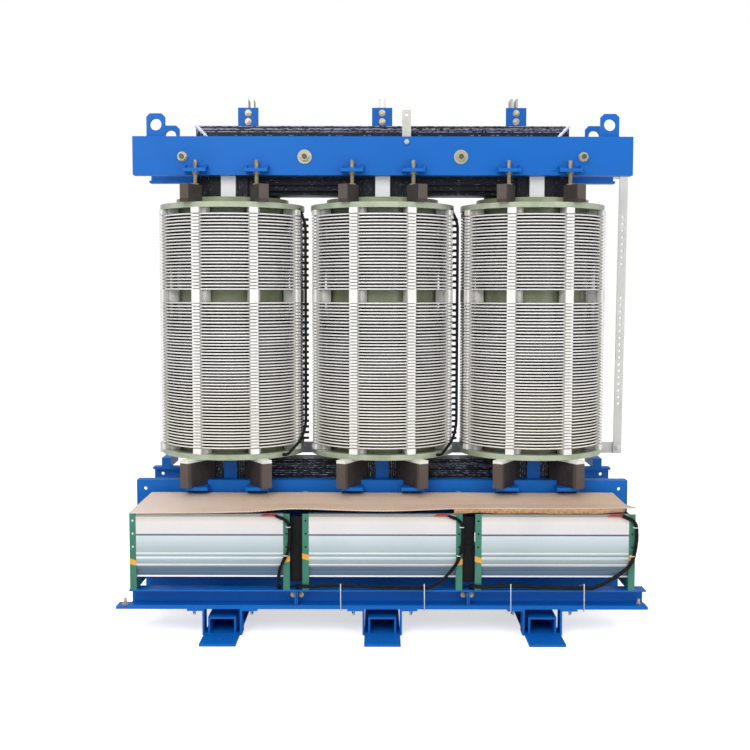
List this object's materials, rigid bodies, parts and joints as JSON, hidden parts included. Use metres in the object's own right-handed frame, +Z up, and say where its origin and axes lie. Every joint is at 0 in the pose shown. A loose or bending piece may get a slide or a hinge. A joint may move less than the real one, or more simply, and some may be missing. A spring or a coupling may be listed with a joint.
{
  "type": "dry-type power transformer",
  "caption": "Open three-phase dry-type power transformer with disc coils, blue clamps, cross-flow cooling fans and skid feet.",
  "frame": {"origin": "centre of the middle foot's underside, on the core's centre plane", "axes": "+X along the core, +Y towards the low-voltage side, +Z up"},
  "size_m": [2.1818, 1.2, 2.253],
  "materials": {
    "core_steel": "glossy black varnish over stacked laminations",
    "blue_paint": "satin blue enamel",
    "white_insulation": "white insulating board",
    "dark_board": "dark pressed laminate",
    "zinc_bolt": "yellow passivated zinc",
    "disc_wrap": "off-white paper-wrapped conductor, varnished",
    "lv_resin": "resin-impregnated winding",
    "green_laminate": "translucent glass-fibre laminate",
    "fan_aluminium": "natural extruded aluminium",
    "green_paint": "green enamel",
    "rotor_steel": "galvanised sheet",
    "motor_black": "black",
    "tinned_bar": "tinned bar",
    "red_insulator": "moulded red resin",
    "cardboard": "corrugated cardboard"
  },
  "bodies": {
    "root": {"base_rail_front": "blue_paint", "base_rail_rear": "blue_paint", "base_ties": "blue_paint", "busbars": "tinned_bar", "cardboard_cover": "cardboard", "comb_spacers": "white_insulation", "core_bolts": "zinc_bolt", "core_leg_left": "core_steel", "core_leg_middle": "core_steel", "core_leg_right": "core_steel", "core_lower_yoke": "core_steel", "core_upper_yoke": "core_steel", "earth_strap": "tinned_bar", "end_rings": "green_laminate", "fan_cables": "motor_black", "fan_housings_front": "fan_aluminium", "fan_housings_rear": "fan_aluminium", "fan_motors_front": "motor_black", "fan_motors_rear": "motor_black", "fan_plates_front": "green_paint", "fan_plates_rear": "green_paint", "fan_rotors_front": "rotor_steel", "fan_rotors_rear": "rotor_steel", "foot_hangers": "blue_paint", "foot_left": "blue_paint", "foot_middle": "blue_paint", "foot_right": "blue_paint", "hv_leads": "motor_black", "hv_winding_left": "disc_wrap", "hv_winding_middle": "disc_wrap", "hv_winding_right": "disc_wrap", "inner_cylinders": "green_laminate", "jack_bolts": "zinc_bolt", "lead_arms": "blue_paint", "lead_frame": "white_insulation", "lifting_lugs": "blue_paint", "lower_clamp_front": "blue_paint", "lower_clamp_rear": "blue_paint", "lv_windings": "lv_resin", "perforated_board": "white_insulation", "pressing_blocks": "dark_board", "pressing_pads": "white_insulation", "support_posts": "blue_paint", "terminal_brackets": "blue_paint", "terminal_insulators": "red_insulator", "tie_plates": "blue_paint", "tie_sleeves": "white_insulation", "upper_clamp_front": "blue_paint", "upper_clamp_rear": "blue_paint", "yoke_boards": "dark_board"}
  },
  "joints": []
}
